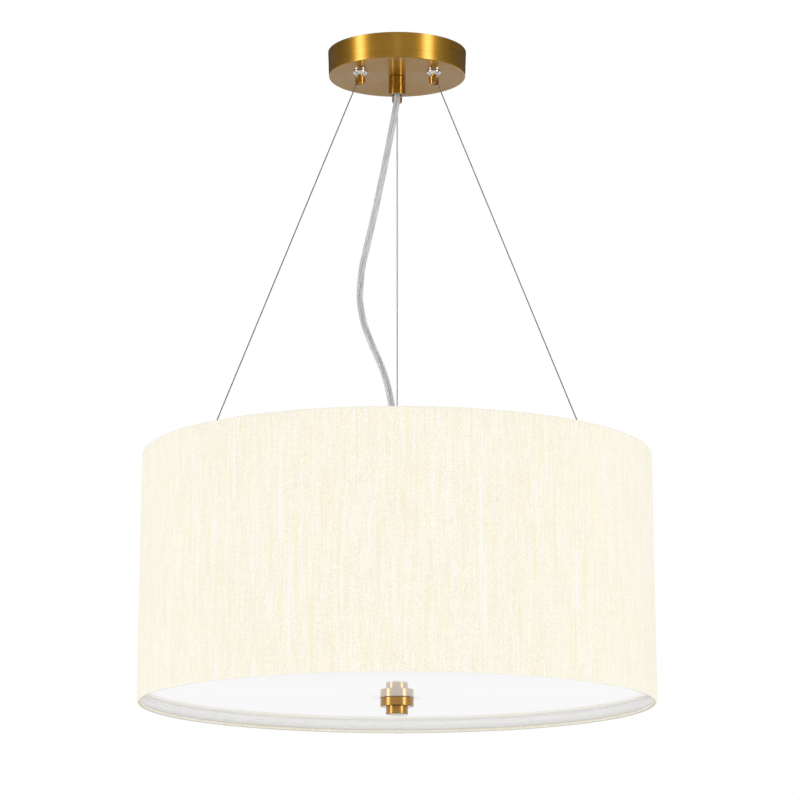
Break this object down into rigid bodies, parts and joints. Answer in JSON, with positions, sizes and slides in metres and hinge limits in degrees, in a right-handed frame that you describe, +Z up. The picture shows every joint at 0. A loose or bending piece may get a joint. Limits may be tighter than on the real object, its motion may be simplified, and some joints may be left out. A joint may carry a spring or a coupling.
{
  "type": "drum pendant light",
  "caption": "Round fabric drum shade with an opal diffuser, hung on adjustable steel wires and a clear power cord from a round brass ceiling canopy.",
  "frame": {"origin": "middle of the ceiling bracket's top face, in the plane of the ceiling", "axes": "+Z up into the ceiling, the lamp hangs towards -Z, the front faces -Y, +X to the right seen from the front"},
  "size_m": [0.502, 0.502, 0.6666],
  "materials": {
    "steel": "satin",
    "satin_brass": "satin",
    "bright_brass": "polished",
    "chrome": "polished",
    "white_metal": "satin",
    "dark_plastic": "matte",
    "white_plastic": "satin",
    "clear_cord": "gloss",
    "lead_insulation_brown": "satin",
    "lead_insulation_blue": "satin",
    "lead_insulation_green_yellow": "satin",
    "cream_fabric": "matte",
    "opal_acrylic": "gloss",
    "opal_globe": "gloss",
    "bulb_cap_metal": "satin"
  },
  "bodies": {
    "ceiling_mount": {"ceiling_bracket": "steel", "canopy": "satin_brass", "canopy_screw_left": "satin_brass", "canopy_screw_right": "satin_brass", "cord_grip": "satin_brass", "cord_grip_bush": "dark_plastic", "cord_grip_nut": "steel", "cord_grip_screw": "satin_brass", "terminal_block": "white_plastic", "cord_tail": "clear_cord", "lead_live": "lead_insulation_brown", "lead_neutral": "lead_insulation_blue", "lead_earth": "lead_insulation_green_yellow", "power_cord": "clear_cord", "gripper_left": "chrome", "gripper_right": "chrome", "gripper_rear": "chrome", "gripper_nut_left": "steel", "gripper_nut_right": "steel", "gripper_nut_rear": "steel", "suspension_wire_left": "steel", "suspension_wire_right": "steel", "suspension_wire_rear": "steel"},
    "shade_unit": {"hub_plate": "white_metal", "hub_body": "white_metal", "hub_base": "white_metal", "cord_gland": "white_plastic", "shade_fabric": "cream_fabric", "shade_top_ring": "steel", "shade_bottom_ring": "steel", "stem_rod": "steel", "stem_nut_upper": "steel", "stem_nut_lower": "steel", "diffuser_stop_washer": "steel", "diffuser_stop_nut": "steel", "arm_left": "white_metal", "arm_screw_left": "steel", "wire_stop_left": "steel", "arm_right": "white_metal", "arm_screw_right": "steel", "wire_stop_right": "steel", "arm_rear": "white_metal", "arm_screw_rear": "steel", "wire_stop_rear": "steel", "lampholder_front": "white_plastic", "lampholder_right": "white_plastic", "lampholder_left": "white_plastic"},
    "diffuser_unit": {"diffuser": "opal_acrylic"},
    "finial": {"finial": "satin_brass"},
    "release_left": {"gripper_plunger_left": "bright_brass"},
    "release_right": {"gripper_plunger_right": "bright_brass"},
    "release_rear": {"gripper_plunger_rear": "bright_brass"},
    "bulb_front": {"bulb_cap_front": "bulb_cap_metal", "bulb_globe_front": "opal_globe"},
    "bulb_right": {"bulb_cap_right": "bulb_cap_metal", "bulb_globe_right": "opal_globe"},
    "bulb_left": {"bulb_cap_left": "bulb_cap_metal", "bulb_globe_left": "opal_globe"}
  },
  "joints": [
    {"name": "height_adjust", "type": "slide", "parent": "ceiling_mount", "child": "shade_unit", "axis": [0, 0, 1], "range_m": [0, 0.16], "deforming": ["suspension_wire_left", "suspension_wire_right", "suspension_wire_rear", "power_cord"]},
    {"name": "release_left", "type": "slide", "parent": "ceiling_mount", "child": "release_left", "axis": [0, 0, 1], "range_m": [0, 0.0015], "stiffness_N_per_m": 400, "springref_m": -0.001},
    {"name": "release_right", "type": "slide", "parent": "ceiling_mount", "child": "release_right", "axis": [0, 0, 1], "range_m": [0, 0.0015], "stiffness_N_per_m": 400, "springref_m": -0.001},
    {"name": "release_rear", "type": "slide", "parent": "ceiling_mount", "child": "release_rear", "axis": [0, 0, 1], "range_m": [0, 0.0015], "stiffness_N_per_m": 400, "springref_m": -0.001},
    {"name": "bulb_front_turn", "type": "hinge", "parent": "shade_unit", "child": "bulb_front", "pos_m": [0, 0, -0.4606], "axis": [0, -1, 0], "range_deg": [0, 900]},
    {"name": "bulb_right_turn", "type": "hinge", "parent": "shade_unit", "child": "bulb_right", "pos_m": [0, 0, -0.4606], "axis": [0.866, 0.5, 0], "range_deg": [0, 900]},
    {"name": "bulb_left_turn", "type": "hinge", "parent": "shade_unit", "child": "bulb_left", "pos_m": [0, 0, -0.4606], "axis": [-0.866, 0.5, 0], "range_deg": [0, 900]},
    {"name": "diffuser_lower", "type": "slide", "parent": "shade_unit", "child": "diffuser_unit", "axis": [0, 0, -1], "range_m": [0, 0.009]},
    {"name": "finial_turn", "type": "hinge", "parent": "diffuser_unit", "child": "finial", "pos_m": [0, 0, -0.6508], "axis": [0, 0, -1], "range_deg": [0, 3240]}
  ],
  "couplings": [
    {"joint": "finial_turn", "follows": "diffuser_lower", "rad_per_m": 6283}
  ]
}
